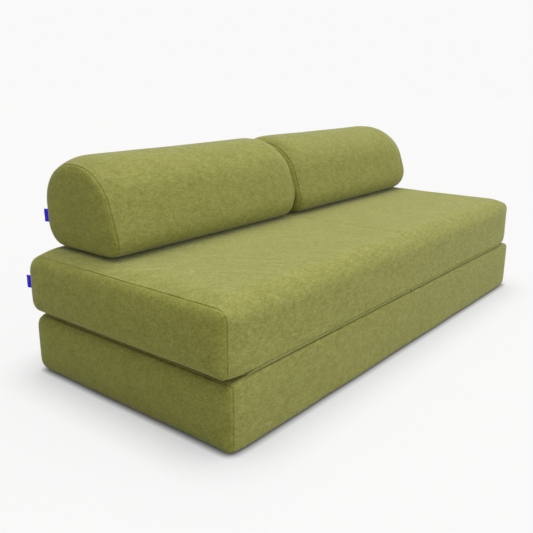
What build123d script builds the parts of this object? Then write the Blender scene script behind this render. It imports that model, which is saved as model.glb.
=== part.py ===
from build123d import *
from dataclasses import dataclass
from math import atan2, degrees
import os

# Seat and base: two foam blocks of one size, stacked and hinged along the front
block_length = 2012
block_depth = 900
block_height = 215
seat_offset = -20
block_ease = 100
block_zip_height = 52
seam_foot_radius = 27
seam_top_radius = 32
seat_draw_in = 15
seat_drop = 21
seat_lift = 3
seat_swell = 28
seat_top_radius = 81
seat_foot_radius = 32
base_draw_in = 7
base_drop = 13
base_lift = 9
base_swell = 20
base_top_radius = 42
base_foot_radius = 33
hinge_edge_radius = 8

# Bolsters: two D-shaped backrests that stand side by side on the seat
bolster_end_margin = 79.5
bolster_spacing = 3
bolster_offset = -4
bolster_depth = 408
bolster_height = 300
bolster_setback = 18
bolster_front_foot_radius = 72
bolster_rear_foot_radius = 80
bolster_draw_in = 12
bolster_drop = 18
bolster_lift = 9
bolster_radius_loss = 4
bolster_swell = 22
bolster_ease = 90
bolster_zip_height = 100

# Shares of a bolster's depth: lean of its front, and radii of its front and rear top corners
lean_share = 0.22
front_radius_share = 0.387
rear_radius_share = 0.32

# Covers, thinnest at the end seams and padded out with wadding between them, and the foam inside
cover_wall = 3
core_clearance = 0.3
stack_clearance = 0.4

# Fabric hinge: a leaf on the seat's front and a leaf on the base's top, in two lengths
leaf_wall = 1.6
leaf_clearance = 0.3
front_leaf_height = 14
top_leaf_width = 36
leaf_end_margin = 84
leaf_split = 4

# Ribbon tabs in the rear left seams
tab_wall = 2
tab_reach = 26
tab_height = 44
seat_tab_rise = 67
bolster_tab_rise = 74

# Zips along the back of each cover
zip_width = 14
zip_end_margin = 14
zip_recess = 1
coil_radius = 1.2
slider_length = 12
slider_width = 9
slider_wall = 2
slider_clearance = 0.3
flange_width = 2
bridge_width = 3
bridge_wall = 1.4
bridge_height = 1.9
pull_length = 26
pull_width = 8
pull_wall = 1.1
pull_window_length = 6.6
pull_window_width = 4.4

# Overrun of every cutting box past what it cuts
overrun = 20

# Shares of an end panel's swell and of its tightest corner at each stage of its dome
swell_stages = ((0.55, 0.25), (1, 0.85))

# Shares along a band's easing, from its end seam, and of its draw-in there
ease_shares = ((0, 1), (0.35, 0.35), (1, 0))

bolster_length = block_length / 2 - bolster_end_margin - bolster_spacing / 2
seat_bottom = block_height + leaf_wall + 2 * leaf_clearance
seat_top = seat_bottom + block_height
hinge_y = -block_depth / 2 - leaf_wall - 2 * leaf_clearance
hinge_z = (block_height + seat_bottom) / 2


@dataclass
class Form:
    """Size and place of one stuffed cover: radii run front foot, rear foot, rear top, front top."""

    middle: float
    bottom: float
    length: float
    front: float
    back: float
    height: float
    lean: float
    radii: tuple
    seam_radii: tuple
    draw_in: float
    drop: float
    lift: float
    swell: float
    ease: float
    zip_z: float

    def seam(self, side):
        return self.middle + side * (self.length / 2 - self.swell)

    def fair(self, side):
        return self.middle + side * (self.length / 2 - self.swell - self.ease)


def block_form(middle, bottom, radii, draw_in, drop, lift, swell):
    seam_radii = (seam_foot_radius, seam_foot_radius, seam_top_radius, seam_top_radius)
    return Form(
        middle, bottom, block_length, -block_depth / 2, block_depth / 2, block_height, 0,
        radii, seam_radii, draw_in, drop, lift, swell, block_ease, bottom + block_zip_height,
    )


def bolster_form(middle):
    bottom = seat_top + stack_clearance
    back = block_depth / 2 - bolster_setback
    radii = (
        bolster_front_foot_radius, bolster_rear_foot_radius,
        bolster_depth * rear_radius_share, bolster_depth * front_radius_share,
    )
    return Form(
        middle, bottom, bolster_length, back - bolster_depth, back, bolster_height,
        bolster_depth * lean_share, radii, tuple(r - bolster_radius_loss for r in radii),
        bolster_draw_in, bolster_drop, bolster_lift,
        bolster_swell, bolster_ease, bottom + bolster_zip_height,
    )


base_radii = (base_foot_radius, base_foot_radius, base_top_radius, hinge_edge_radius)
seat_radii = (hinge_edge_radius, seat_foot_radius, seat_top_radius, seat_top_radius)
bolster_reach = (bolster_length + bolster_spacing) / 2

base = block_form(-seat_offset / 2, 0, base_radii, base_draw_in, base_drop, base_lift, base_swell)
seat = block_form(seat_offset / 2, seat_bottom, seat_radii, seat_draw_in, seat_drop, seat_lift, seat_swell)
bolster_left = bolster_form(bolster_offset - bolster_reach)
bolster_right = bolster_form(bolster_offset + bolster_reach)


def section(form, x, seam_share, wall):
    """Outline across a cover at x, set in by wall: seam_share is 1 at an end seam, 0 in the middle."""
    front = form.front + form.draw_in * seam_share + wall
    back = form.back - form.draw_in * seam_share - wall
    low = form.bottom + form.lift * seam_share + wall
    high = form.bottom + form.height - form.drop * seam_share - wall
    radii = [fair + (seam - fair) * seam_share - wall for fair, seam in zip(form.radii, form.seam_radii)]
    with BuildSketch(Plane(origin=(x, 0, 0), x_dir=(0, 1, 0), z_dir=(1, 0, 0))) as outline:
        with BuildLine():
            corners = ((front, low), (back, low), (back, high), (front + form.lean, high))
            FilletPolyline(corners, radius=radii, close=True)
        make_face()
    return outline.sketch


def ease_sections(form, side):
    """Sections of a band, from its end seam to its fair middle."""
    seam = form.seam(side)
    fair = form.fair(side)
    return [section(form, seam + (fair - seam) * along, share, 0) for along, share in ease_shares]


def fill_band(form, sides=(-1, 1)):
    """Everything inside a band, from the middle to the end seams."""
    for side in sides:
        extrude(section(form, form.middle, 0, 0), amount=side * (form.length / 2 - form.swell - form.ease))
        loft(ease_sections(form, side), ruled=True)


def fill_block(form, wall, ends, sides, mode):
    """A plain block of the end seams' outline, set in by wall and short of the end seams by ends."""
    for side in sides:
        reach = form.length / 2 - form.swell - ends
        extrude(section(form, form.middle, 1, wall), amount=side * reach, mode=mode)


def fill_box(low, high, mode):
    """A box between two corners."""
    size = [b - a for a, b in zip(low, high)]
    with Locations(tuple((a + b) / 2 for a, b in zip(low, high))):
        Box(*size, mode=mode)


def underside_window(form, mode):
    """The part of a band from its front foot under the cover and up to its zip."""
    foot = max(form.radii[0], form.draw_in + form.seam_radii[0]) + cover_wall
    low = (form.seam(-1) - overrun, form.front + foot, form.bottom - overrun)
    high = (form.seam(1) + overrun, form.back + overrun, form.zip_z - zip_width / 2)
    fill_box(low, high, mode)


def zip_slot(form, mode):
    """The slot in the back wall that the zip tape fills."""
    low = (form.fair(-1) + zip_end_margin, form.back - cover_wall, form.zip_z - zip_width / 2)
    high = (form.fair(1) - zip_end_margin, form.back + overrun, form.zip_z + zip_width / 2)
    fill_box(low, high, mode)


def make_band(form, sides=(-1, 1)):
    """Sewn band round the front, top and back, or half of it up to a middle seam."""
    with BuildPart() as band:
        fill_band(form, sides)
        fill_block(form, cover_wall, 0, sides, Mode.SUBTRACT)
        underside_window(form, Mode.SUBTRACT)
        zip_slot(form, Mode.SUBTRACT)
    return band.part


def make_underside(form):
    """Panel from the front foot under the cover and up the back to the zip."""
    with BuildPart() as underside:
        fill_band(form)
        fill_block(form, cover_wall, 0, (-1, 1), Mode.SUBTRACT)
        underside_window(form, Mode.INTERSECT)
    return underside.part


def make_end_panel(form, side):
    """Padded end panel, flat where it meets the foam and domed outside in tapering stages."""
    tightest = min(form.seam_radii)
    reached, inset = 0, 0
    outline = section(form, form.seam(side), 1, 0)
    with BuildPart() as panel:
        for along, share in swell_stages:
            rise = (along - reached) * form.swell
            draw = (share - inset) * tightest
            extrude(outline, amount=rise, dir=(side, 0, 0), taper=degrees(atan2(draw, rise)))
            outline = panel.faces().sort_by(Axis.X)[0 if side < 0 else -1]
            reached, inset = along, share
    return panel.part


def make_core(form):
    """Foam block that fills the cover."""
    with BuildPart() as core:
        fill_block(form, cover_wall + core_clearance, core_clearance, (-1, 1), Mode.ADD)
    return core.part


def make_zip_tape(form):
    """Both tapes with the closed coil between them, set back from the cover's face."""
    start = form.fair(-1) + zip_end_margin
    end = form.fair(1) - zip_end_margin
    half = zip_width / 2
    face = form.back - zip_recess
    with BuildPart() as tape:
        low = (start, form.back - cover_wall, form.zip_z - half)
        fill_box(low, (end, face, form.zip_z + half), Mode.ADD)
        with BuildSketch(Plane(origin=(start, 0, 0), x_dir=(0, 1, 0), z_dir=(1, 0, 0))):
            with Locations((form.back - coil_radius, form.zip_z)):
                Circle(coil_radius)
        extrude(amount=end - start)
    return tape.part


def slider_place(form):
    """Middle of the closed slider, on the cover's face over the coil."""
    return (form.fair(1) - zip_end_margin - slider_length, form.back, form.zip_z)


def make_slider(form):
    """A plate over the coil, two flanges beside it and a bridge that traps the pull."""
    x, y, z = slider_place(form)
    half_length = slider_length / 2
    half_width = slider_width / 2
    under = y + slider_clearance
    top = under + slider_wall
    roof = top + bridge_height
    with BuildPart() as slider:
        fill_box((x - half_length, under, z - half_width), (x + half_length, top, z + half_width), Mode.ADD)
        for side in (-1, 1):
            outer = z + side * half_width
            inner = outer - side * flange_width
            low = (x - half_length, y - zip_recess + slider_clearance, min(outer, inner))
            fill_box(low, (x + half_length, under, max(outer, inner)), Mode.ADD)
        low = (x - half_length, top, z - bridge_width / 2)
        fill_box(low, (x + half_length, roof + bridge_wall, z + bridge_width / 2), Mode.ADD)
        low = (x - half_length + bridge_wall, top, z - bridge_width)
        fill_box(low, (x + half_length - bridge_wall, roof, z + bridge_width), Mode.SUBTRACT)
    return slider.part


def make_pull(form):
    """A flat pull whose window lets the bridge through."""
    x, y, z = slider_place(form)
    middle = y + slider_clearance + slider_wall + bridge_height / 2
    half_wall = pull_wall / 2
    with BuildPart() as pull:
        low = (x - pull_length, middle - half_wall, z - pull_width / 2)
        fill_box(low, (x + half_wall, middle + half_wall, z + pull_width / 2), Mode.ADD)
        low = (x - half_wall - pull_window_length, middle - pull_wall, z - pull_window_width / 2)
        fill_box(low, (x - half_wall, middle + pull_wall, z + pull_window_width / 2), Mode.SUBTRACT)
        far = pull.edges().filter_by(Axis.Y).group_by(Axis.X)[0]
        fillet(far, radius=pull_width / 4)
    return pull.part


def make_tab(form, rise):
    """A folded ribbon caught in the rear left seam."""
    x = form.seam(-1)
    y = form.back - form.draw_in + core_clearance
    z = form.bottom + rise
    with BuildPart() as tab:
        low = (x - tab_wall / 2, y, z)
        fill_box(low, (x + tab_wall / 2, y + tab_reach, z + tab_height), Mode.ADD)
        fold = tab.edges().filter_by(Axis.Z).group_by(Axis.Y)[-1]
        fillet(fold, radius=tab_wall * 0.45)
    return tab.part


def leaf_ends(side):
    """The two ends along X of one length of the hinge."""
    inner = side * leaf_split / 2 + seat.middle
    outer = side * (block_length / 2 - leaf_end_margin) + seat.middle
    return min(inner, outer), max(inner, outer)


def make_front_leaf(side):
    """Leaf sewn to the seat's front, from the fold line up."""
    start, end = leaf_ends(side)
    back = seat.front - leaf_clearance
    with BuildPart() as leaf:
        low = (start, back - leaf_wall, hinge_z + leaf_clearance)
        fill_box(low, (end, back, hinge_z + front_leaf_height), Mode.ADD)
    return leaf.part


def make_top_leaf(side):
    """Leaf sewn to the base's top, from the fold line back under the seat."""
    start, end = leaf_ends(side)
    low_z = block_height + leaf_clearance
    with BuildPart() as leaf:
        low = (start, seat.front, low_z)
        fill_box(low, (end, seat.front + top_leaf_width, low_z + leaf_wall), Mode.ADD)
    return leaf.part


parts = {
    "base_band": make_band(base),
    "seat_band_left": make_band(seat, (-1,)),
    "seat_band_right": make_band(seat, (1,)),
    "bolster_left_band": make_band(bolster_left),
    "bolster_right_band": make_band(bolster_right),
    "seat_ribbon_tab": make_tab(seat, seat_tab_rise),
    "bolster_ribbon_tab": make_tab(bolster_left, bolster_tab_rise),
}

forms = {"base": base, "seat": seat, "bolster_left": bolster_left, "bolster_right": bolster_right}
for name, form in forms.items():
    parts[f"{name}_underside"] = make_underside(form)
    parts[f"{name}_end_left"] = make_end_panel(form, -1)
    parts[f"{name}_end_right"] = make_end_panel(form, 1)
    parts[f"{name}_foam_core"] = make_core(form)
    parts[f"{name}_zip_tape"] = make_zip_tape(form)
    parts[f"{name}_zip_slider"] = make_slider(form)
    parts[f"{name}_zip_pull"] = make_pull(form)

for side, hand in ((-1, "left"), (1, "right")):
    parts[f"hinge_front_leaf_{hand}"] = make_front_leaf(side)
    parts[f"hinge_top_leaf_{hand}"] = make_top_leaf(side)

os.makedirs("parts", exist_ok=True)
for name, piece in parts.items():
    piece.label = name
    export_step(piece, f"parts/{name}.step")

print("seat fold axis: y", round(hinge_y, 2), "z", round(hinge_z, 2))
for name, form in forms.items():
    print(name, "slider at", [round(v, 2) for v in slider_place(form)])
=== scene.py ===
# %% [markdown]
# # A folding sofa bed in sewn velour
# Two foam blocks lie one on the other, and two D-shaped bolsters stand on them as a
# backrest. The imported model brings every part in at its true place, in metres, so
# nothing has to be fitted: the lesson dresses that frame with cushions, seams and cloth.

# %% Load the frame
import bmesh
import bpy
import math
from mathutils import Matrix, Vector, noise


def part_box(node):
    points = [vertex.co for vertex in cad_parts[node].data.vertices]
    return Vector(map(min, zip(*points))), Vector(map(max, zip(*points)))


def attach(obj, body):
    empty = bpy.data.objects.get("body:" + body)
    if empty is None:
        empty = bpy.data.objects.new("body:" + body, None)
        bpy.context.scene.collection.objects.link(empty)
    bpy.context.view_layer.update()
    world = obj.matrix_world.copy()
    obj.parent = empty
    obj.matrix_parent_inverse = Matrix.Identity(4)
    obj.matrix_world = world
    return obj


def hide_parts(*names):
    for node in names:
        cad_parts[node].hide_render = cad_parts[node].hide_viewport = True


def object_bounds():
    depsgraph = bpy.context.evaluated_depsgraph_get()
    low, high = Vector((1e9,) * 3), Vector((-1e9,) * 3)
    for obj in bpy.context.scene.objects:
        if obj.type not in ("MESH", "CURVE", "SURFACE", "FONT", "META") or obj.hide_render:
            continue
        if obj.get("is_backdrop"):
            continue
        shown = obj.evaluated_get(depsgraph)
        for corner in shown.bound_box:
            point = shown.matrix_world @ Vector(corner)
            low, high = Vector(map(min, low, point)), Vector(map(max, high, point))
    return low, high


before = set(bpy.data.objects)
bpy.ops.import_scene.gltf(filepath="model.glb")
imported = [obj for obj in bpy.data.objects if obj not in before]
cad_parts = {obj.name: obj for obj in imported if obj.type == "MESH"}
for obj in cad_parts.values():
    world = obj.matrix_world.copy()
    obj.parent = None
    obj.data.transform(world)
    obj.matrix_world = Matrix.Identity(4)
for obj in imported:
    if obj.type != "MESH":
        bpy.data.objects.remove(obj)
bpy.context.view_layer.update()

# %% [markdown]
# ## The camera
# A camera is easiest to match from three directions: where it looks, what is to its
# right and what is above it. They are the columns of its rotation. The lens comes from
# a focal length counted in pixels of the square frame, turned into millimetres.

# %% Camera at the photograph's angle
frame_px = 533
camera_place = Vector((-2.1325, -1.4947, 0.9799))
camera_heading = math.radians(50.91)
camera_tilt = math.radians(16.1)
camera_roll = math.radians(0.11)
camera_focal_px = 659.7

forward = Vector((math.cos(camera_tilt) * math.sin(camera_heading),
                  math.cos(camera_tilt) * math.cos(camera_heading),
                  -math.sin(camera_tilt)))
rightward = Vector((math.cos(camera_heading), -math.sin(camera_heading), 0))
upward = rightward.cross(forward)
turn = Matrix.Rotation(-camera_roll, 3, forward)
rightward, upward = turn @ rightward, turn @ upward

camera_data = bpy.data.cameras.new("photo_camera")
camera_data.sensor_width = 36
camera_data.lens = camera_focal_px / frame_px * camera_data.sensor_width
camera_data.clip_end = 100
camera = bpy.data.objects.new("photo_camera", camera_data)
camera.matrix_world = Matrix((rightward, upward, -forward)).transposed().to_4x4()
camera.matrix_world.translation = camera_place
bpy.context.scene.collection.objects.link(camera)
bpy.context.scene.camera = camera
print("lens", round(camera_data.lens, 2), "mm")

# %% [markdown]
# ## The light
# The sofa stands in plain studio light: one broad lamp straight above, a second one in
# front and a bit to the right, and pale light from everywhere else. A sun with a wide
# disc gives a broad lamp's soft shadows and lights the whole floor evenly, which an area
# lamp near the sofa wouldn't. The room is white only where the camera sees it, directly or
# in a reflection, so that the backdrop doesn't wash the cloth out.

# %% Lamps
lamp_colour = (1.0, 0.985, 0.96)


def make_lamp(name, strength, spread, place):
    """A broad lamp as a sun with a wide disc, shining from place towards the origin."""
    data = bpy.data.lights.new(name, "SUN")
    data.energy = strength
    data.angle = math.radians(spread)
    data.color = lamp_colour
    lamp = bpy.data.objects.new(name, data)
    lamp.matrix_world = place.to_track_quat("Z", "Y").to_matrix().to_4x4()
    bpy.context.scene.collection.objects.link(lamp)
    print(name, "of strength", strength)


make_lamp("overhead_lamp", 2.3, 60, Vector((0.20, 0.10, 1.0)))
make_lamp("front_lamp", 1.3, 95, Vector((0.30, -0.80, 0.36)))

# %% The room around
room = bpy.data.worlds.new("pale_room")
bpy.context.scene.world = room
room.use_nodes = True
room_tree = room.node_tree
backdrop_white = 0.947
room_strength = 0.42
rays = room_tree.nodes.new("ShaderNodeLightPath")
seen_white = room_tree.nodes.new("ShaderNodeMath")
seen_white.operation = "MAXIMUM"
mirrored = room_tree.nodes.new("ShaderNodeMath")
mirrored.operation = "MAXIMUM"
room_tree.links.new(rays.outputs["Is Glossy Ray"], mirrored.inputs[0])
room_tree.links.new(rays.outputs["Is Transmission Ray"], mirrored.inputs[1])
room_tree.links.new(rays.outputs["Is Camera Ray"], seen_white.inputs[0])
room_tree.links.new(mirrored.outputs[0], seen_white.inputs[1])
strength = room_tree.nodes.new("ShaderNodeMapRange")
strength.inputs["To Min"].default_value = room_strength
strength.inputs["To Max"].default_value = backdrop_white
room_tree.links.new(seen_white.outputs[0], strength.inputs["Value"])
backdrop = room_tree.nodes["Background"]
backdrop.inputs["Color"].default_value = (1, 1, 1, 1)
room_tree.links.new(strength.outputs["Result"], backdrop.inputs["Strength"])

bpy.context.scene.view_settings.view_transform = "Standard"
print("room strength", room_strength, "and backdrop", backdrop_white)

# %% [markdown]
# ## A way to write materials
# A node tree is a sum of small steps, and sums are easier to read as Python. One class
# makes a material and adds its nodes, and a second one wraps a socket so that plus,
# minus and times add the Math nodes by themselves.

# %% Material helpers
class Wire:
    """One output of a node, which can be used in a sum."""

    def __init__(self, finish, socket):
        self.finish = finish
        self.socket = socket

    def sum(self, operation, first, second):
        return self.finish.add("ShaderNodeMath", {"operation": operation},
                               {0: first, 1: second})

    def __add__(self, other):
        return self.sum("ADD", self, other)

    def __radd__(self, other):
        return self.sum("ADD", other, self)

    def __sub__(self, other):
        return self.sum("SUBTRACT", self, other)

    def __rsub__(self, other):
        return self.sum("SUBTRACT", other, self)

    def __mul__(self, other):
        return self.sum("MULTIPLY", self, other)

    def __rmul__(self, other):
        return self.sum("MULTIPLY", other, self)

    def __pow__(self, other):
        return self.sum("POWER", self, other)


class Finish:
    """A procedural material and the nodes that are added to it."""

    def __init__(self, name):
        self.material = bpy.data.materials.new(name)
        self.material.use_nodes = True
        self.tree = self.material.node_tree
        self.surface = self.tree.nodes["Principled BSDF"]

    def feed(self, socket, value):
        if isinstance(value, Wire):
            self.tree.links.new(value.socket, socket)
        else:
            socket.default_value = value

    def add(self, kind, settings=None, inputs=None, output=0):
        node = self.tree.nodes.new(kind)
        for key, value in (settings or {}).items():
            setattr(node, key, value)
        for key, value in (inputs or {}).items():
            self.feed(node.inputs[key], value)
        return Wire(self, node.outputs[output])

    def set(self, **values):
        for key, value in values.items():
            self.feed(self.surface.inputs[key.replace("_", " ")], value)

    def noise(self, place, scale, detail=2, roughness=0.5):
        return self.add("ShaderNodeTexNoise", {"noise_dimensions": "3D"},
                        {"Vector": place, "Scale": scale, "Detail": detail,
                         "Roughness": roughness})

    def blend(self, share, first, second):
        return self.add("ShaderNodeMix", {"data_type": "RGBA"},
                        {"Factor": share, 6: first, 7: second}, output=2)

    def smooth(self, value, start, end, low=0.0, high=1.0):
        return self.add("ShaderNodeMapRange", {"interpolation_type": "SMOOTHSTEP"},
                        {"Value": value, "From Min": start, "From Max": end,
                         "To Min": low, "To Max": high})

    def bump(self, height, distance, strength=1.0, normal=None):
        inputs = {"Height": height, "Distance": distance, "Strength": strength}
        if normal:
            inputs["Normal"] = normal
        return self.add("ShaderNodeBump", {}, inputs)


print("material helpers ready")

# %% [markdown]
# ## Velour
# Brushed velour has a short dense pile. Its colour shifts where the pile lies another
# way, with a fine grain on top, and it glows a little at grazing angles: that is the
# sheen. Real hairs would take hours to render, so five sizes of noise in object
# coordinates stand for the pile, from soft patches and brushed strokes down to grain.
# Off the band, on the end panels, the colour is a darker and more saturated copy: painted
# shade for the end panels. Points marked "band" keep the plain colour. Points marked "seam"
# darken into a thread line, and gather the cloth beside it into small puckers; on the
# hinge leaves these marks are painted shade.

# %% Velour
# painted shade: the darker, more saturated tint for all off the band, the end panels
painted_shade_tint = (0.92, 0.92, 0.74, 1.0)
brush_angle, brush_stretch = -0.89, 5.0
thread_shade = 0.25


def make_velour(name, dark, light):
    """Pile between two shades, painted shade off the band, and the seams' own marks."""
    velour = Finish(name)
    place = velour.add("ShaderNodeTexCoord", output=3)
    nap = velour.add("ShaderNodeMapping", {}, {"Vector": place, "Rotation": (0.0, 0.35, 0.5),
                                               "Scale": (0.5, 1.0, 1.0)})
    brushed = velour.add("ShaderNodeMapping", {"vector_type": "TEXTURE"},
                         {"Vector": place, "Rotation": (0.0, 0.0, brush_angle),
                          "Scale": (brush_stretch, 1.0, 1.0)})
    patches = velour.noise(nap, 11.0, 3, 0.5)
    strokes = velour.noise(brushed, 42.0, 3, 0.6)
    mottle = velour.noise(nap, 105.0, 4, 0.7)
    speckle = velour.noise(place, 230.0, 3, 0.7)
    grain = velour.noise(place, 620.0, 2, 0.6)
    seam = velour.add("ShaderNodeAttribute", {"attribute_name": "seam"}, output=2)
    around = velour.add("ShaderNodeUVMap", {"uv_map": "cover"})
    lie = 0.5
    for part, amount in ((patches, 0.18), (strokes, 0.6), (mottle, 1.2), (speckle, 1.8),
                         (grain, 0.5)):
        lie = lie + (part - 0.5) * amount
    pile = velour.smooth(lie, 0.0, 1.0)
    on_band = velour.add("ShaderNodeAttribute", {"attribute_name": "band"}, output=2)
    # painted shade: a darker pair for the end panels
    shaded_dark, shaded_light = (tuple(a * b for a, b in zip(shade, painted_shade_tint))
                             for shade in (dark, light))
    colour = velour.blend(on_band, velour.blend(pile, shaded_dark, shaded_light),
                          velour.blend(pile, dark, light))
    fold = velour.add("ShaderNodeMapping", {}, {"Vector": around, "Scale": (1.0, 0.12, 1.0)})
    puckers = velour.noise(fold, 75.0, 1, 0.4)
    stitched = velour.smooth(velour.noise(around, 38.0, 2, 0.6), 0.35, 0.68, 0.10, 0.50)
    thread = velour.smooth(seam, 0.55, 0.98)
    beside = velour.smooth(seam, 0.05, 0.45)
    shade = tuple(c * thread_shade for c in dark[:3]) + (1.0,)
    colour = velour.blend(thread * stitched, colour, shade)
    rough = velour.add("ShaderNodeMapRange", {},
                       {"Value": mottle, "To Min": 0.82, "To Max": 0.98})
    fuzz = velour.bump(speckle + grain * 0.6, 0.0022, 0.5)
    lumps = velour.bump(mottle, 0.0035, 0.3, fuzz)
    gathered = velour.bump((puckers - 0.5) * beside, 0.006, 0.6, lumps)
    velour.set(Base_Color=colour, Roughness=rough, Normal=gathered, Sheen_Weight=0.28,
               Sheen_Roughness=0.3, Sheen_Tint=(1.0, 1.0, 0.9, 1.0), Specular_IOR_Level=0.12)
    return velour.material


velour = make_velour("moss_velour", (0.215, 0.217, 0.052, 1.0), (0.352, 0.359, 0.110, 1.0))
bolster_velour = make_velour("bolster_velour", (0.203, 0.205, 0.048, 1.0),
                             (0.334, 0.340, 0.102, 1.0))
print("made", velour.name, "and", bolster_velour.name)

# %% [markdown]
# ## The shape of a cushion
# Each cushion is one closed shape. Its outline across the length is a rounded box: four
# corners, each cut back by a vertex bevel. About a hundred such outlines in a row, joined
# ring by ring, make the whole cushion, and the outline changes on the way: towards an end
# seam the band draws in and its corners tighten, and past the seam the end panel rolls
# over and closes. A box with bevelled edges couldn't change along its length like this.
# The real sizes come from the CAD parts, so the cushion fills their place.

# %% The plan of a cushion
class Plan:
    """Where a cushion lies and how its outline changes, all in metres.

    The radii go round from the low front corner by the low back and the high back one to
    the high front one. Where the two ends may differ, a pair gives the left end first.
    """

    def __init__(self, name, bands, radii, seam_radii, draws, lean, ease, cell, panel):
        self.name = name
        boxes = [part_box(f"{name}_{band}") for band in bands]
        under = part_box(f"{name}_underside")[0]
        self.seams = (min(b[0].x for b in boxes), max(b[1].x for b in boxes))
        self.ends = (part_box(f"{name}_end_left")[0].x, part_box(f"{name}_end_right")[1].x)
        self.front, self.back = min(b[0].y for b in boxes), max(b[1].y for b in boxes)
        self.low, self.high = under.z, max(b[1].z for b in boxes)
        self.radii, self.seam_radii = radii, seam_radii
        self.draw_in, self.drop, self.lift = draws
        self.front_draw = self.draw_in
        self.feet = (seam_radii[0], seam_radii[0])
        self.lean, self.cell = lean, cell
        self.eases = (ease, ease)
        *roll, self.crown_inset = panel
        self.rolls = [roll, roll]


block_ease, bolster_ease, pressed_ease = 0.10, 0.09, 0.05
block_cell, bolster_cell = 0.026, 0.018
block_panel = (0.041, 0.82, 0.075)  # inset of the roll, its share of the swell, crown's inset
bolster_panel = (0.031, 0.69, 0.09)
bolster_lean = 0.0898
plans = {
    "base": Plan("base", ["band"], (0.012, 0.045, 0.042, 0.009),
                 (0.010, 0.036, 0.040, 0.010), (0.007, 0.013, 0.003),
                 0.0, block_ease, block_cell, block_panel),
    "seat": Plan("seat", ["band_left", "band_right"], (0.008, 0.042, 0.081, 0.081),
                 (0.011, 0.036, 0.050, 0.028), (0.015, 0.021, 0.002),
                 0.0, block_ease, block_cell, block_panel),
}
for name in ("bolster_left", "bolster_right"):
    plans[name] = Plan(name, ["band"], (0.062, 0.080, 0.1306, 0.1579),
                       (0.046, 0.077, 0.127, 0.154), (0.0125, 0.022, 0.008),
                       bolster_lean, bolster_ease, bolster_cell, bolster_panel)
    plans[name].front_draw = 0.006
print("planned:", ", ".join(plans))

# %% [markdown]
# The two bolsters stand pressed together. Their inner ends bulge less and bend in over a
# shorter way, the panels all but touch in a narrow groove, and each foot is trodden down a
# bit differently at its two ends. Four sewn cushions are never quite alike, so these few
# values are given for each end.

# %% Where the bolsters meet
left_bolster, right_bolster = plans["bolster_left"], plans["bolster_right"]
meeting, meeting_gap = 0.002, 0.0005
pressed_roll = (0.019, 0.88)
for plan, left, right in ((left_bolster, -0.005, 0.013), (right_bolster, 0.0, 0.003)):
    plan.seams = (plan.seams[0] + left, plan.seams[1] + right)
left_bolster.ends = (left_bolster.ends[0], meeting - meeting_gap)
right_bolster.ends = (meeting + meeting_gap, right_bolster.ends[1])
left_bolster.eases = (bolster_ease, pressed_ease)
right_bolster.eases = (pressed_ease, bolster_ease)
left_bolster.rolls[1] = right_bolster.rolls[0] = pressed_roll
left_bolster.feet, right_bolster.feet = (0.046, 0.085), (0.060, 0.072)
for plan in plans.values():
    print(plan.name, "from", round(plan.seams[0], 3), "to", round(plan.seams[1], 3))

# %% One outline
corner_cuts = 8
start_inset = 0.003


def outline(plan, share, inset, end=0):
    """Points round a cushion, starting under its middle.

    share is 1 at an end seam and 0 where the band is straight, inset draws all of the
    outline in, and end is 0 for the left half and 1 for the right one.
    """
    seam_radii = (plan.feet[end],) + plan.seam_radii[1:]
    front, back = plan.front + plan.front_draw * share, plan.back - plan.draw_in * share
    low, high = plan.low + plan.lift * share, plan.high - plan.drop * share
    half = min(high - low, back - front) / 2
    kept = 1 - inset / half
    front, back, low, high = front + inset, back - inset, low + inset, high - inset
    lean = plan.lean * kept
    corners = (Vector((0, front, low)), Vector((0, back, low)),
               Vector((0, back, high)), Vector((0, front + lean, high)))
    shape = bmesh.new()
    face = shape.faces.new([shape.verts.new(c) for c in corners])
    points = list(face.verts)
    for n, point in enumerate(points):
        radius = (plan.radii[n] + (seam_radii[n] - plan.radii[n]) * share) * kept
        before = corners[n - 1] - corners[n]
        after = corners[(n + 1) % 4] - corners[n]
        slide = radius / math.tan(before.angle(after) / 2)
        bmesh.ops.bevel(shape, geom=[point], affect="VERTICES", offset=slide,
                        segments=corner_cuts, profile=0.5, material=-1)
    cuts = [round((plan.back - plan.front) / plan.cell),
            round((plan.high - plan.low) / plan.cell / 2)]
    for n in range(4):
        start, stop = corners[n], corners[(n + 1) % 4]
        along = (stop - start).normalized()
        straight = [e for e in shape.edges
                    if all((v.co - start).cross(along).length < 1e-6 for v in e.verts)]
        bmesh.ops.subdivide_edges(shape, edges=straight, cuts=cuts[n % 2] | 1)
    face = shape.faces[:][0]
    ring = [v.co.copy() for v in face.verts]
    shape.free()
    middle = (front + back) / 2
    first = min(range(len(ring)), key=lambda n: (round(ring[n].z, 5), abs(ring[n].y - middle)))
    return ring[first:] + ring[:first]


print("points in a block's outline:", len(outline(plans["base"], 0, start_inset)))

# %% [markdown]
# ## From outlines to a cushion
# The stations along the length lie close together at a seam and far apart in the flat
# middle, because only the seams need the detail. A ring of edges is extruded from
# station to station, and every new point is put on its own place of the next outline.
# Each station has a seam mark: 1 on an end seam, a bit less on a middle one, and little
# on the next two rings beside an end seam, where the cloth gathers.

# %% Stations along a cushion
end_mark, middle_mark = 1.0, 0.80
close_by = ((0.0022, 0.42), (0.005, 0.1))
further_off = tuple((gap, 0.0) for gap in (0.011, 0.021, 0.036, 0.056, 0.08))
ease_power = 2.1
ring_stretch = 1.25


def band_share(plan, x):
    """How far the band is drawn in at x: 1 at an end seam, 0 in the middle."""
    return max(max(0.0, 1 - abs(x - seam) / ease) ** ease_power
               for seam, ease in zip(plan.seams, plan.eases))


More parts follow.
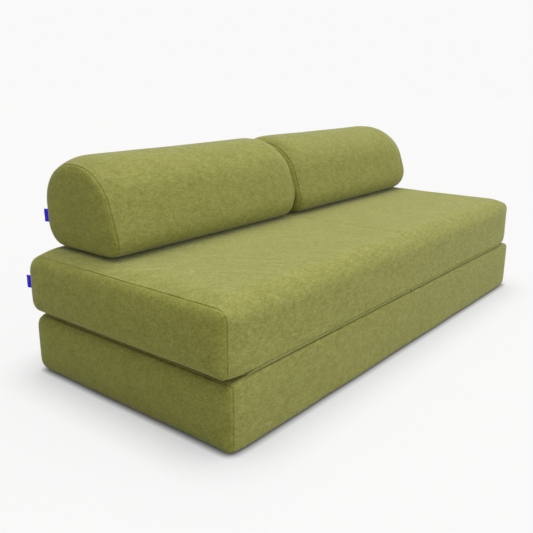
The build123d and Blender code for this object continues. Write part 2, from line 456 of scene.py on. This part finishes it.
def stations(plan, middle_seams=()):
    """(x, share, inset, seam mark) along a cushion, from one crown to the other."""
    left, right = plan.seams
    spots = {left: end_mark, right: end_mark}
    for seam in middle_seams:
        spots[seam] = middle_mark
    places = dict(spots)
    for seam, seam_mark in spots.items():
        for gap, mark in close_by + further_off:
            for x in (seam - gap, seam + gap):
                if left < x < right:
                    places[x] = mark if seam_mark == end_mark else 0.0
    inner = sorted(places)
    for a, b in zip(inner, inner[1:]):
        steps = math.ceil((b - a) / (plan.cell * ring_stretch))
        for n in range(1, steps):
            places[a + (b - a) * n / steps] = 0.0
    rows = [(x, band_share(plan, x), start_inset, mark) for x, mark in sorted(places.items())]
    return panel_rows(plan, 0)[::-1] + rows + panel_rows(plan, 1)


print("seam marks:", end_mark, "on an end seam and", middle_mark, "on a middle one")

# %% Stations of an end panel
crown_spare, crown_hole = 0.002, 0.006
close_inset, wide_inset = 0.011, 0.02
roll_limits = (0.2, 0.42)
first_roll_step, roll_steps = 3, 8


def panel_rows(plan, end):
    """Stations of an end panel: it rolls over beside the seam, then swells to its crown."""
    swell = abs(plan.ends[end] - plan.seams[end]) - crown_spare
    side = 1 if end else -1
    half = (plan.high - plan.low - plan.drop - plan.lift) / 2
    roll_inset, roll_share = plan.rolls[end]
    reach = swell * roll_share
    rows = []
    for (gap, mark), limit in zip(close_by, roll_limits):
        gap = min(gap, limit * reach)
        rows.append((gap, roll_inset * (1 - math.cos(math.asin(gap / reach))), mark))
    for n in range(first_roll_step, roll_steps + 1):
        angle = math.pi / 2 * n / roll_steps
        rows.append((reach * math.sin(angle), roll_inset * (1 - math.cos(angle)), 0.0))
    inset = roll_inset
    while inset < half - 2 * crown_hole:
        inset += close_inset if inset < plan.crown_inset else wide_inset
        rise = min(1.0, (inset - roll_inset) / (plan.crown_inset - roll_inset))
        swelled = roll_share + (1 - roll_share) * math.sin(math.pi / 2 * rise)
        rows.append((swell * swelled, min(inset, half - crown_hole), 0.0))
    return [(plan.seams[end] + side * x, 1.0, start_inset + inset, mark)
            for x, inset, mark in rows]


print("stations along the seat:", len(stations(plans["seat"], (0.0,))))

# %% Stack the outlines
def stack_outlines(plan, rows):
    """A closed shape through one outline per row, with the rows' seam marks on it."""
    shape = bmesh.new()
    mark_of = shape.verts.layers.float.new("seam")
    place_of = shape.verts.layers.int.new("place")
    x, share, inset, mark = rows[0]
    first = [shape.verts.new((x, p.y, p.z)) for p in outline(plan, share, inset)]
    halfway = (plan.seams[0] + plan.seams[1]) / 2
    crown = shape.faces.new(first)
    for n, v in enumerate(first):
        v[mark_of], v[place_of] = mark, n
    edges = list(crown.edges)
    for x, share, inset, mark in rows[1:]:
        ring = outline(plan, share, inset, int(x > halfway))
        made = bmesh.ops.extrude_edge_only(shape, edges=edges)["geom"]
        for v in (g for g in made if isinstance(g, bmesh.types.BMVert)):
            p = ring[v[place_of]]
            v.co = (x, p.y, p.z)
            v[mark_of] = mark
        edges = [e for e in made if isinstance(e, bmesh.types.BMEdge)
                 and all(abs(v.co.x - x) < 1e-7 for v in e.verts)]
    far = bmesh.ops.contextual_create(shape, geom=edges)["faces"]
    bmesh.ops.triangulate(shape, faces=[crown] + far, quad_method="BEAUTY",
                          ngon_method="BEAUTY")
    bmesh.ops.recalc_face_normals(shape, faces=shape.faces)
    return shape


print("points in one ring of the seat:", len(outline(plans["seat"], 0, start_inset)))

# %% Add a piece to the scene
def add_piece(name, shape, material=None):
    """Turns a bmesh into an object at the origin, with its place in its mesh."""
    mesh = bpy.data.meshes.new(name)
    shape.to_mesh(mesh)
    shape.free()
    piece = bpy.data.objects.new(name, mesh)
    bpy.context.scene.collection.objects.link(piece)
    if material:
        mesh.materials.append(material)
    return piece


def build_cushion(plan, middle_seams=()):
    """The cushion's closed mesh, with cover coordinates that run around it and along it."""
    shape = stack_outlines(plan, stations(plan, middle_seams))
    place_of = shape.verts.layers.int["place"]
    fair = outline(plan, 0, start_inset)
    run = [0.0]
    for a, b in zip(fair, fair[1:] + fair[:1]):
        run.append(run[-1] + (b - a).length)
    cover = shape.loops.layers.uv.new("cover")
    count = len(fair)
    for f in shape.faces:
        wraps = {0, count - 1} <= {v[place_of] for v in f.verts}
        for corner in f.loops:
            n = corner.vert[place_of]
            n = count if wraps and n == 0 and len(f.verts) == 4 else n
            corner[cover].uv = (run[n], corner.vert.co.x)
    return add_piece(f"{plan.name}_cushion", shape)


print("cushions to build:", ", ".join(plans))

# %% [markdown]
# ## Filling the cover
# Foam and wadding push their cover out from inside, and the seams hold it back. Blender's
# Cloth does just that: pressure inside a closed mesh, with the seams and the face that
# lies on something pinned. Firm foam only crowns by a few millimetres, so the cushion is
# plumped up by a set amount, and what the cloth does is evened out and capped on top.

# %% Even out a move
calming_rounds = 6


def calmed(mesh, values):
    """Each value averaged with its neighbours' a few times, which takes out small creases."""
    beside = [[] for v in mesh.vertices]
    for a, b in mesh.edge_keys:
        beside[a].append(b)
        beside[b].append(a)
    for turn in range(calming_rounds):
        values = [(value + sum(values[n] for n in near)) / (1 + len(near))
                  for value, near in zip(values, beside)]
    return values


print("each move is evened out", calming_rounds, "times")

# %% Fill a cushion
cloth_frames = 20
cloth_cap, cloth_softener = 0.002, 3
pinned_foot = 0.012
flat_foot, rise_to_full = 0.002, 0.018
seam_hold = 0.35
cloth_values = {
    "quality": 5, "mass": 0.3, "tension_stiffness": 14, "compression_stiffness": 14,
    "shear_stiffness": 6, "bending_stiffness": 1.2, "vertex_group_mass": "pins",
    "use_pressure": True,
}


def fill_cushion(piece, plan, plump, pressure):
    """Plumps the cushion up by a few millimetres and adds a capped part of what cloth does."""
    mesh = piece.data
    pins = piece.vertex_groups.new(name="pins")
    marks = [m.value for m in mesh.attributes["seam"].data]
    for v, mark in zip(mesh.vertices, marks):
        rests = v.co.z < plan.low + pinned_foot
        pins.add([v.index], 1.0 if rests else mark ** 2, "REPLACE")
    start = [v.co.copy() for v in mesh.vertices]
    cloth = piece.modifiers.new("filling", "CLOTH")
    for key, value in cloth_values.items():
        setattr(cloth.settings, key, value)
    cloth.settings.uniform_pressure_force = pressure
    cloth.settings.effector_weights.gravity = 0
    scene = bpy.context.scene
    for step in range(1, cloth_frames + 1):
        scene.frame_set(step)
    filled = piece.evaluated_get(bpy.context.evaluated_depsgraph_get()).data
    ends = [v.co.copy() for v in filled.vertices]
    piece.modifiers.remove(cloth)
    scene.frame_set(1)
    normals = [v.normal.copy() for v in mesh.vertices]
    moves = calmed(mesh, [(b - a).dot(n) for a, b, n in zip(start, ends, normals)])
    for v, a, n, move, mark in zip(mesh.vertices, start, normals, moves, marks):
        held = 1 - seam_hold * mark ** 4
        full = plump * held * max(0.0, min(1.0, (a.z - plan.low - flat_foot) / rise_to_full))
        v.co = a + n * (full + cloth_cap * math.tanh(move / cloth_cap / cloth_softener))
    piece.vertex_groups.remove(pins)
    print(piece.name, "cloth moved", round(min(moves) * 1000, 1), "to",
          round(max(moves) * 1000, 1), "mm before its cap")


print("the cloth runs for", cloth_frames, "frames")

# %% [markdown]
# ## What hands and use do to a cover
# Thread pulls a seam in, and the cloth beside it stands up as a small lip that is never
# quite even. A middle seam also draws its cover down into a shallow valley, a corner that
# is sat on sinks, and a zip lies in a fold of its own. Sculpting would do all this by
# hand, but short rules on the points are repeatable and stay in step with the seams. On
# an end seam the thread shows most at the front and back, on a middle seam on top.

# %% Press in the seams
on_end_seam, on_middle_seam, beside_seam = 0.9, 0.6, 0.05
end_thread, middle_thread, thread_change = 0.80, 0.82, 0.20
middle_press = 0.6
seam_drift, drift_grain, drift_start = 0.0016, 11, Vector((5.3, 0.7, 9.1))
lip_grain, lip_least, lip_change = 40, 0.6, 0.8
face_grain, face_start = 5.5, Vector((3.1, 7.7, 1.3))


def press_seams(piece, depth, lip, unevenness):
    """Draws the thread in, raises the cloth beside it and lets the faces wander a little."""
    mesh = piece.data
    marks = [m.value for m in mesh.attributes["seam"].data]
    normals = [v.normal.copy() for v in mesh.vertices]
    thread = mesh.attributes["seam"].data
    for v, mark, normal in zip(mesh.vertices, marks, normals):
        if mark > on_end_seam:
            thread[v.index].value = end_thread + thread_change * abs(normal.y)
            v.co -= normal * depth
        elif mark > on_middle_seam:
            thread[v.index].value = middle_thread - thread_change * abs(normal.y)
            v.co -= normal * depth * middle_press * normal.z ** 2
        elif mark > beside_seam:
            uneven = lip_least + lip_change * noise.noise(v.co * lip_grain)
            v.co += normal * lip * uneven
        if mark > beside_seam:
            v.co.x += seam_drift * noise.noise(v.co * drift_grain + drift_start)
        v.co += normal * unevenness * noise.noise(v.co * face_grain + face_start)
    mesh.update()


print("seams wander by up to", seam_drift * 1000, "mm")

# %% Valleys and folds
bolster_margin = 0.10
fold_above, fold_below = (0.018, 0.008), (0.010, 0.007)
fold_end, back_zone, behind_tape = 0.03, 0.03, 0.0003


def dip_at_seam(piece, seam, depth, reach):
    """A shallow valley along a middle seam, where the cover is drawn down on top."""
    for v in piece.data.vertices:
        near = max(0.0, 1 - abs(v.co.x - seam) / reach)
        v.co.z -= depth * near ** 2 * max(0.0, v.normal.z)


def round_far_corner(piece, plan, amount, reach, bolster_front, short_reach):
    """Lets the top sink towards the far end, over a shorter reach beside the bolster."""
    middle = (plan.low + plan.high) / 2
    for v in piece.data.vertices:
        beside = max(0.0, min(1.0, 1 + (v.co.y - bolster_front) / bolster_margin))
        span = reach + (short_reach - reach) * beside
        along = max(0.0, min(1.0, 1 + (v.co.x - plan.seams[1]) / span))
        v.co.z -= amount * along ** 2 * max(0.0, (v.co.z - middle) / (plan.high - middle))


def sink_for_zip(piece, plan):
    """Draws the cover in behind the zip's tape, which then lies open in a shallow fold."""
    low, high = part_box(f"{plan.name}_zip_tape")
    for v in piece.data.vertices:
        if v.co.y < plan.back - back_zone:
            continue
        above, below = v.co.z - high.z, low.z - v.co.z
        across = max(0.0, min(1.0, (fold_above[0] - above) / fold_above[1],
                              (fold_below[0] - below) / fold_below[1]))
        along = max(0.0, min(1.0, 1 + min(v.co.x - low.x, high.x - v.co.x) / fold_end))
        v.co.y += (low.y + behind_tape - v.co.y) * across * along


def keep_inside(piece, low, high):
    """Keeps every point between two corners, as what it lies on and against does."""
    for v in piece.data.vertices:
        v.co = Vector(max(a, min(b, c)) for a, b, c in zip(low, high, v.co))


print("a zip's fold runs out over", fold_end * 1000, "mm")

# %% Dress a cushion
def finish_cushion(piece, body, nodes, cloth):
    """Marks the band, smooths the mesh and puts it in the place of its CAD nodes."""
    left, right = plans[body].seams
    band = piece.data.attributes.new("band", "FLOAT", "POINT")
    band.data.foreach_set("value", [float(left < v.co.x < right) for v in piece.data.vertices])
    piece.data.polygons.foreach_set("use_smooth", [True] * len(piece.data.polygons))
    smooth = piece.modifiers.new("smooth", "SUBSURF")
    smooth.levels = smooth.render_levels = 1
    piece.data.materials.append(cloth)
    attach(piece, body)
    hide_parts(*nodes)
    print(piece.name, len(piece.data.polygons), "faces")


print("a cushion is dressed in", velour.name, "or", bolster_velour.name)

# %% [markdown]
# ## The two blocks
# The base lies on the floor and carries the seat block. The seat's cover is sewn from two
# halves, so it gets a middle seam over its front, top and back. Both keep their faces
# flat where they lie on each other, with a slit of less than a millimetre between them,
# and the seat's front stays behind the hinge's strip. Only the seat's top dips and sinks.

# %% Blocks
seat_middle_seam = (plans["seat"].seams[0] + plans["seat"].seams[1]) / 2
slit = 0.0004
pressure = 4.0
seam_depth, seam_lip = 0.0016, 0.0006
front_room = {"base": 0.002, "seat": -slit}
top_room = {"base": -slit, "seat": 0.0}
bulge = 0.004
for name, middle_seams in (("base", ()), ("seat", (seat_middle_seam,))):
    plan = plans[name]
    block = build_cushion(plan, middle_seams)
    fill_cushion(block, plan, plump=0.006, pressure=pressure)
    press_seams(block, seam_depth, seam_lip, unevenness=0.0016)
    nodes = ["band"] if name == "base" else ["band_left", "band_right"]
    nodes += ["end_left", "end_right", "underside"]
    keep_inside(block, (plan.ends[0] - bulge, plan.front - front_room[name], plan.low + slit),
                (plan.ends[1] + bulge, plan.back + bulge, plan.high + top_room[name]))
    sink_for_zip(block, plan)
    if middle_seams:
        dip_at_seam(block, seat_middle_seam, depth=0.0028, reach=0.03)
        round_far_corner(block, plan, amount=0.006, reach=0.14,
                         bolster_front=right_bolster.front, short_reach=0.06)
    finish_cushion(block, name, [f"{name}_{n}" for n in nodes], cloth=velour)

# %% [markdown]
# ## The bolsters
# A bolster is D-shaped: a flat foot, a front that leans back and a long round over the
# top. The same steps make it, with a leaning outline. It is softer than the blocks, so it
# is plumped up more and may stand a bit prouder, but not where the two press together.

# %% Bolsters
soft_bulge = 0.006
for name, left_room, right_room in (("bolster_left", bulge, 0.0),
                                    ("bolster_right", 0.0, bulge)):
    plan = plans[name]
    bolster = build_cushion(plan)
    fill_cushion(bolster, plan, plump=0.0068, pressure=pressure)
    press_seams(bolster, seam_depth, seam_lip, unevenness=0.0018)
    keep_inside(bolster, (plan.ends[0] - left_room, plan.front - soft_bulge, plan.low + slit),
                (plan.ends[1] + right_room, plan.back + soft_bulge, plan.high + soft_bulge))
    sink_for_zip(bolster, plan)
    nodes = [f"{name}_{n}" for n in ("band", "end_left", "end_right", "underside")]
    finish_cushion(bolster, name, nodes, cloth=bolster_velour)

# %% [markdown]
# ## The foam inside
# Under each cover lies a plain block of foam with softened edges. Nobody sees it while
# the cover is shut, but it is a real part, so it gets its own block. A bevelled box would
# poke through a D-shaped cover, so it has the cover's own outlines set further in, with a
# few of them close together at each end to round it off. Its cells are a Voronoi pattern.

# %% Foam finish and blocks
def make_foam():
    """Pale foam with fine cells, a little yellower in clouds."""
    foam = Finish("pale_foam")
    place = foam.add("ShaderNodeTexCoord", output=3)
    cells = foam.add("ShaderNodeTexVoronoi", {"feature": "F1"},
                     {"Vector": place, "Scale": 520.0})
    clouds = foam.noise(place, 14.0, 3, 0.5)
    pale = foam.blend(foam.smooth(cells, 0.0, 0.9), (0.62, 0.57, 0.42, 1.0),
                      (0.86, 0.82, 0.68, 1.0))
    aged = foam.blend(clouds * 0.35, pale, (0.80, 0.74, 0.56, 1.0))
    foam.set(Base_Color=aged, Roughness=0.95, Normal=foam.bump(cells, 0.001, 0.6),
             Specular_IOR_Level=0.1)
    return foam.material


foam_finish = make_foam()
foam_inset = 0.011
rounding = ((0.012, 0.012), (0.0135, 0.006), (0.018, 0.0015), (0.024, 0.0))
for name, plan in plans.items():
    rows = [(plan.seams[0] + x, 1.0, foam_inset + more, 0.0) for x, more in rounding]
    rows += [(plan.seams[1] - x, 1.0, foam_inset + more, 0.0) for x, more in rounding[::-1]]
    foam_block = add_piece(f"{name}_foam_block", stack_outlines(plan, rows), foam_finish)
    faces = foam_block.data.polygons
    faces.foreach_set("use_smooth", [len(f.vertices) == 4 for f in faces])
    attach(foam_block, name)
    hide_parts(f"{name}_foam_core")
print("foam blocks:", len(plans))

# %% [markdown]
# ## Ribbon tabs
# A short ribbon is folded in two and caught in the rear left seam, to pull the cover by.
# Spinning one point half a turn draws the fold, extruding the line up gives the ribbon
# its width, and a Solidify gives it the thickness of cloth. A flat box would lack the
# fold. The ribbon waves slightly towards its free end, and it is left plain.

# %% Ribbon finish
def make_ribbon():
    """Blue ribbon with fine woven ribs."""
    ribbon = Finish("blue_ribbon")
    place = ribbon.add("ShaderNodeTexCoord", output=3)
    ribs = ribbon.add("ShaderNodeTexWave", {"wave_type": "BANDS", "bands_direction": "Y"},
                      {"Vector": place, "Scale": 260.0, "Distortion": 0.3}, output=1)
    wear = ribbon.noise(place, 160.0, 2, 0.5)
    blue = ribbon.blend(wear, (0.018, 0.006, 0.80, 1.0), (0.030, 0.012, 1.0, 1.0))
    ribbon.set(Base_Color=blue, Roughness=0.5, Normal=ribbon.bump(ribs, 0.0004, 0.5),
               Specular_IOR_Level=0.15)
    return ribbon.material


ribbon_finish = make_ribbon()
print("made", ribbon_finish.name)

# %% Cloth strips
def draw_out(shape, line, steps, step):
    """Extrudes a line of edges into a strip, one step at a time."""
    for turn in range(steps):
        made = bmesh.ops.extrude_edge_only(shape, edges=line)["geom"]
        new = [g for g in made if isinstance(g, bmesh.types.BMVert)]
        bmesh.ops.translate(shape, verts=new, vec=step)
        line = [g for g in made if isinstance(g, bmesh.types.BMEdge)
                and all(v in new for v in g.verts)]


def add_strip(name, shape, material, wall):
    """A strip as a smooth piece with the thickness of its cloth."""
    bmesh.ops.recalc_face_normals(shape, faces=shape.faces)
    strip = add_piece(name, shape, material)
    strip.data.polygons.foreach_set("use_smooth", [True] * len(strip.data.polygons))
    thickness = strip.modifiers.new("cloth", "SOLIDIFY")
    thickness.thickness = wall
    thickness.offset = 0
    return strip


print("strip helpers ready")

# %% Ribbon tabs
ribbon_wall = 0.0005
tab_spare = 0.018
tab_rows, tab_fold_steps = 8, 8
tab_wave, tab_wave_rate, tab_sag = 0.0003, 160, 0.004


def make_tab(name, body, node, up):
    """A ribbon folded in two, up by so much from its CAD tab and a little longer."""
    low, high = (corner + Vector((0, 0, up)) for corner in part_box(node))
    high.y += tab_spare
    middle = (low.x + high.x) / 2
    half = (high.x - low.x) / 2 - ribbon_wall
    shape = bmesh.new()
    start = shape.verts.new((middle - half, low.y, low.z))
    far = bmesh.ops.extrude_vert_indiv(shape, verts=[start])["verts"][0]
    far.co.y = high.y - half - ribbon_wall
    turned = bmesh.ops.spin(shape, geom=[far], cent=(middle, far.co.y, low.z), axis=(0, 0, -1),
                            angle=math.pi, steps=tab_fold_steps, use_duplicate=False)["geom_last"]
    fold_end = next(g for g in turned if isinstance(g, bmesh.types.BMVert))
    back = bmesh.ops.extrude_vert_indiv(shape, verts=[fold_end])["verts"][0]
    back.co.y = low.y
    draw_out(shape, shape.edges[:], tab_rows, (0, 0, (high.z - low.z) / tab_rows))
    for v in shape.verts:
        out = (v.co.y - low.y) / (high.y - low.y)
        v.co.x += tab_wave * math.sin(v.co.z * tab_wave_rate) * out
        v.co.z -= out * tab_sag
    tab = add_strip(name, shape, ribbon_finish, ribbon_wall)
    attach(tab, body)
    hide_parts(node)
    print(name, "sticks out", round((high.y - low.y) * 1000), "mm")


make_tab("seat_ribbon_loop", "seat", "seat_ribbon_tab", 0.010)
make_tab("bolster_ribbon_loop", "bolster_left", "bolster_ribbon_tab", 0.004)

# %% [markdown]
# ## The fabric hinge
# The seat turns over on a strip of cover cloth that runs along the fold line in two
# lengths. The front leaf is sewn to the seat's front and tucks in round its lower edge,
# and the top leaf lies flat on the base. Each is a line of points drawn out sideways and
# given the thickness of cloth. A cloth run would only crumple so narrow a strip. The front
# leaf's upper edge is sewn on with a row of stitches, wanders a little, and comes down
# towards the sofa's ends. The dark lines under the leaf's edge and between the blocks are
# partly the gaps' real shade and partly painted shade: its top edge and tucked fold are darkened.

# %% Hinge leaves
leaf_cloth = 0.0010
leaf_step = 0.012
edge_zone = 0.008
# painted shade: how far down from the top and up from the seat's foot the leaf is darkened
shaded_edge, shaded_fold = 0.0035, 0.0045
taper_reach, leaf_taper = 0.11, 7
ripple_grain = 14


def make_leaf(name, body, node, profile, wander=0.0):
    """Draws a profile of (y, z) points out along X between the ends of its CAD leaf."""
    low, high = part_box(node)
    shape = bmesh.new()
    points = [shape.verts.new((low.x, y, z)) for y, z in profile]
    line = [shape.edges.new(pair) for pair in zip(points, points[1:])]
    steps = round((high.x - low.x) / leaf_step)
    draw_out(shape, line, steps, ((high.x - low.x) / steps, 0, 0))
    top = max(z for y, z in profile)
    painted_shade_mark = shape.verts.layers.float.new("seam")
    band_mark = shape.verts.layers.float.new("band")
    outer = low.x if abs(low.x) > abs(high.x) else high.x
    for v in shape.verts:
        rise = max(0.0, (v.co.z - top + edge_zone) / edge_zone)
        # painted shade: the top edge and tucked fold take the seam's dark thread line
        dark = v.co.z > top - shaded_edge or v.co.z < plans["seat"].low + shaded_fold
        v[painted_shade_mark] = 1.0 if wander and dark else 0.0
        v[band_mark] = 1.0
        taper = max(0.0, 1 - abs(v.co.x - outer) / taper_reach) ** 2 * leaf_taper
        ripple = 0.5 + 0.5 * noise.noise(Vector((v.co.x * ripple_grain, 0, 5)))
        v.co.z -= rise * wander * (taper + ripple)
    leaf = add_strip(name, shape, velour, leaf_cloth)
    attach(leaf, body)
    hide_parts(node)
    print(name, "of", steps, "steps")


print("leaves of cloth", leaf_cloth * 1000, "mm thick")

# %% The front leaf's profile
edge_drops, tuck_start = (0.0007, 0.003), 0.0004
tuck_angle, tuck_steps = math.radians(52), 6
leaf_behind = 0.0003


def front_profile(low, high):
    """Down the seat's front, then round its lower edge."""
    seat = plans["seat"]
    edge = seat.radii[0]
    face = (low.y + high.y) / 2 + leaf_behind
    around = seat.front + edge - face
    centre = Vector((seat.front + edge, seat.low + edge))
    down = [(face, high.z - drop) for drop in edge_drops] + [(face, centre.y + tuck_start)]
    for n in range(tuck_steps + 1):
        angle = tuck_angle * n / tuck_steps
        down.append((centre.x - around * math.cos(angle), centre.y - around * math.sin(angle)))
    return down


top_start, top_stop, top_rows = 0.012, 0.001, 6
for side in ("left", "right"):
    low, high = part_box(f"hinge_top_leaf_{side}")
    level = (low.z + high.z) / 2
    run = high.y - low.y - top_start - top_stop
    flat = [(low.y + top_start + run * n / top_rows, level) for n in range(top_rows + 1)]
    make_leaf(f"hinge_top_strip_{side}", "base", f"hinge_top_leaf_{side}", flat)
    make_leaf(f"hinge_front_strip_{side}", "seat", f"hinge_front_leaf_{side}",
              front_profile(*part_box(f"hinge_front_leaf_{side}")), wander=0.0008)

# %% [markdown]
# A stitch is a short thin rod of six sides, because there are hundreds of them and each
# is seen only as a speck. Its thread's twist is a fine diagonal wave in the material.

# %% Stitches
thread = Finish("olive_thread")
thread_place = thread.add("ShaderNodeTexCoord", output=3)
ply = thread.add("ShaderNodeTexWave", {"wave_type": "BANDS", "bands_direction": "DIAGONAL"},
                 {"Vector": thread_place, "Scale": 400.0}, output=1)
thread.set(Base_Color=thread.blend(ply, (0.16, 0.16, 0.04, 1.0), (0.34, 0.34, 0.11, 1.0)),
           Roughness=0.6, Normal=thread.bump(ply, 0.0003, 0.6))
stitch_length, stitch_gap, stitch_radius = 0.0042, 0.0016, 0.00035
stitch_depth, stitch_drop = 0.0005, 0.0036
stitch_sides = 6
inner_margin = 0.006
lying = Matrix.Rotation(math.pi / 2, 4, "Y")
for side, left_margin, right_margin in (("left", taper_reach, inner_margin),
                                        ("right", inner_margin, taper_reach)):
    low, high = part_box(f"hinge_front_leaf_{side}")
    row = bmesh.new()
    x = low.x + left_margin
    while x + stitch_length < high.x - right_margin:
        made = bmesh.ops.create_cone(row, cap_ends=True, segments=stitch_sides,
                                     radius1=stitch_radius, radius2=stitch_radius,
                                     depth=stitch_length, matrix=lying)["verts"]
        middle = (x + stitch_length / 2, low.y + stitch_depth, high.z - stitch_drop)
        bmesh.ops.translate(row, verts=made, vec=middle)
        x += stitch_length + stitch_gap
    stitches = add_piece(f"hinge_stitches_{side}", row, thread.material)
    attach(stitches, "seat")
    print("stitches on the", side, "leaf:", len(stitches.data.vertices) // (2 * stitch_sides))

# %% [markdown]
# ## The cloth under the base
# The face that lies on the floor is a dark close-woven cloth with rows of small rubber
# dots, so that the sofa doesn't creep. It is a thin flat panel with rounded corners: a
# cube scaled to size, with its four upright edges bevelled. The dots are a Voronoi
# pattern without randomness, because thousands of modelled ones would add nothing.

# %% Non-slip panel
def make_nonslip():
    """Dark close cloth with rows of rubber dots."""
    cloth = Finish("nonslip_cloth")
    place = cloth.add("ShaderNodeTexCoord", output=3)
    dots = cloth.add("ShaderNodeTexVoronoi", {"feature": "F1"},
                     {"Vector": place, "Scale": 110.0, "Randomness": 0.0})
    dot = cloth.smooth(dots, 0.30, 0.22)
    weave = cloth.noise(place, 900.0, 1, 0.5)
    shade = cloth.blend(weave, (0.028, 0.028, 0.026, 1.0), (0.075, 0.074, 0.068, 1.0))
    cloth.set(Base_Color=cloth.blend(dot, shade, (0.02, 0.02, 0.02, 1.0)),
              Roughness=cloth.smooth(dot, 0.0, 1.0, 0.9, 0.45),
              Normal=cloth.bump(dot + weave * 0.25, 0.0006, 0.6))
    return cloth.material


base_plan = plans["base"]
panel_wall, panel_margin, panel_corner = 0.0009, 0.03, 0.02
panel_spare = 0.002
panel_back = base_plan.back - base_plan.radii[1] - panel_spare
panel_low = Vector((base_plan.seams[0] + panel_margin, base_plan.front + panel_margin, 0.0))
panel_high = Vector((base_plan.seams[1] - panel_margin, panel_back, panel_wall))
panel_shape = bmesh.new()
bmesh.ops.create_cube(panel_shape, size=1.0)
for v in panel_shape.verts:
    v.co = Vector(a + (b - a) * (c + 0.5) for a, b, c in zip(panel_low, panel_high, v.co))
upright = [e for e in panel_shape.edges if abs(e.verts[0].co.z - e.verts[1].co.z) > 1e-5]
bmesh.ops.bevel(panel_shape, geom=upright, affect="EDGES", offset=panel_corner, segments=6,
                profile=0.5, material=-1)
panel = add_piece("base_nonslip_panel", panel_shape, make_nonslip())
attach(panel, "base")
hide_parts("base_underside")
print("panel", [round(v, 3) for v in (panel_high - panel_low)])

# %% [markdown]
# ## Zips
# The zips along the back keep their CAD shape, and get finishes of their own. A closed
# coil zip is a woven tape with a row of close loops along its middle: the tape gets a
# fine weave, and the loops are a wave across the length, raised where the tape's middle
# is. Modelling each loop would take thousands of faces for a line a few millimetres wide.
# The slider and its pull are painted metal, rubbed a little lighter in places.

# %% Zip finishes
coil_outside, coil_inside = 0.0016, 0.0011


def make_zip_tape(name, middle):
    """Woven tape with a coil of loops at the height of its middle."""
    tape = Finish(name)
    place = tape.add("ShaderNodeTexCoord", output=3)
    xyz = tape.add("ShaderNodeSeparateXYZ", {}, {0: place}, output=2)
    away = tape.add("ShaderNodeMath", {"operation": "ABSOLUTE"}, {0: xyz - middle})
    coil = tape.smooth(away, coil_outside, coil_inside)
    loops = tape.add("ShaderNodeTexWave", {"wave_type": "BANDS", "bands_direction": "X"},
                     {"Vector": place, "Scale": 200.0}, output=1)
    weave = tape.add("ShaderNodeTexWave", {"wave_type": "BANDS", "bands_direction": "DIAGONAL"},
                     {"Vector": place, "Scale": 330.0}, output=1)
    cloth = tape.blend(weave, (0.10, 0.105, 0.03, 1.0), (0.17, 0.175, 0.06, 1.0))
    teeth = tape.blend(loops, (0.04, 0.04, 0.012, 1.0), (0.20, 0.20, 0.08, 1.0))
    tape.set(Base_Color=tape.blend(coil, cloth, teeth),
             Roughness=tape.smooth(coil, 0.0, 1.0, 0.9, 0.4),
             Normal=tape.bump(coil * loops + (1 - coil) * weave * 0.3, 0.0006, 0.7))
    return tape.material


def make_zip_metal():
    """Dark painted metal, rubbed lighter in places."""
    metal = Finish("painted_zip_metal")
    place = metal.add("ShaderNodeTexCoord", output=3)
    rub = metal.smooth(metal.noise(place, 300.0, 3, 0.6), 0.52, 0.75)
    metal.set(Base_Color=metal.blend(rub, (0.055, 0.056, 0.045, 1.0), (0.16, 0.16, 0.14, 1.0)),
              Metallic=0.6, Roughness=metal.smooth(rub, 0.0, 1.0, 0.48, 0.3),
              Normal=metal.bump(rub, 0.0001, 0.3))
    return metal.material


zip_metal = make_zip_metal()
for name in plans:
    low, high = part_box(f"{name}_zip_tape")
    zip_cloth = make_zip_tape(f"{name}_zip_cloth", (low.z + high.z) / 2)
    for part, material in (("tape", zip_cloth), ("slider", zip_metal), ("pull", zip_metal)):
        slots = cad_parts[f"{name}_zip_{part}"].data.materials
        slots.clear()
        slots.append(material)
print("zips finished:", len(plans))

# %% [markdown]
# ## The floor
# The floor is a plain pale sheet. Part of its white is its own glow that only the camera
# sees, so the soft shadow stays as pale as in a studio and no more light falls on the
# sofa. Beside the sofa the glow fades with the light that reaches the floor. Two Ambient
# Occlusion nodes measure this: a wide one that leans to the open side in front shapes the
# soft shadow, and a very short one keeps the dark line of contact.

# %% Floor finish
floor_finish = Finish("studio_floor")
direct = floor_finish.add("ShaderNodeLightPath", output=0)
open_side = Vector((0.14, -0.12, 0.96)).normalized()
leaning = floor_finish.add("ShaderNodeCombineXYZ", {}, dict(enumerate(open_side)))
shadow_reach, shadow_power, contact_reach = 0.17, 0.5, 0.022
occlusion_rays = 12
open_sky = floor_finish.add("ShaderNodeAmbientOcclusion", {"samples": occlusion_rays},
                            {"Distance": shadow_reach, "Normal": leaning}, output=1)
contact = floor_finish.add("ShaderNodeAmbientOcclusion", {"samples": occlusion_rays},
                           {"Distance": contact_reach}, output=1)
glow_white, paint_white, bounce_white = 0.82, 0.10, 0.55
floor_colour = floor_finish.blend(direct, (bounce_white,) * 3 + (1.0,),
                                  (paint_white,) * 3 + (1.0,))
glow = direct * (open_sky ** shadow_power) * contact * glow_white
floor_finish.set(Base_Color=floor_colour, Roughness=1.0, Specular_IOR_Level=0.0,
                 Emission_Color=glow, Emission_Strength=1.0)
print("floor glow", glow_white, "and paint", paint_white)

# %% Floor
floor_reach = 30
floor_shape = bmesh.new()
bmesh.ops.create_grid(floor_shape, x_segments=1, y_segments=1, size=floor_reach)
floor = add_piece("studio_floor", floor_shape, floor_finish.material)
floor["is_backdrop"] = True
print("floor reaches", floor_reach, "m to each side")

# %% [markdown]
# ## The dressed size
# The dressed sofa has to stay in the CAD model's box but for the few millimetres that
# cloth stands proud and the longer ends of the ribbons. Its box is printed in metres.

# %% Sizes
low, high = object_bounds()
print("dressed box in metres:", [round(v, 3) for v in (high - low)])
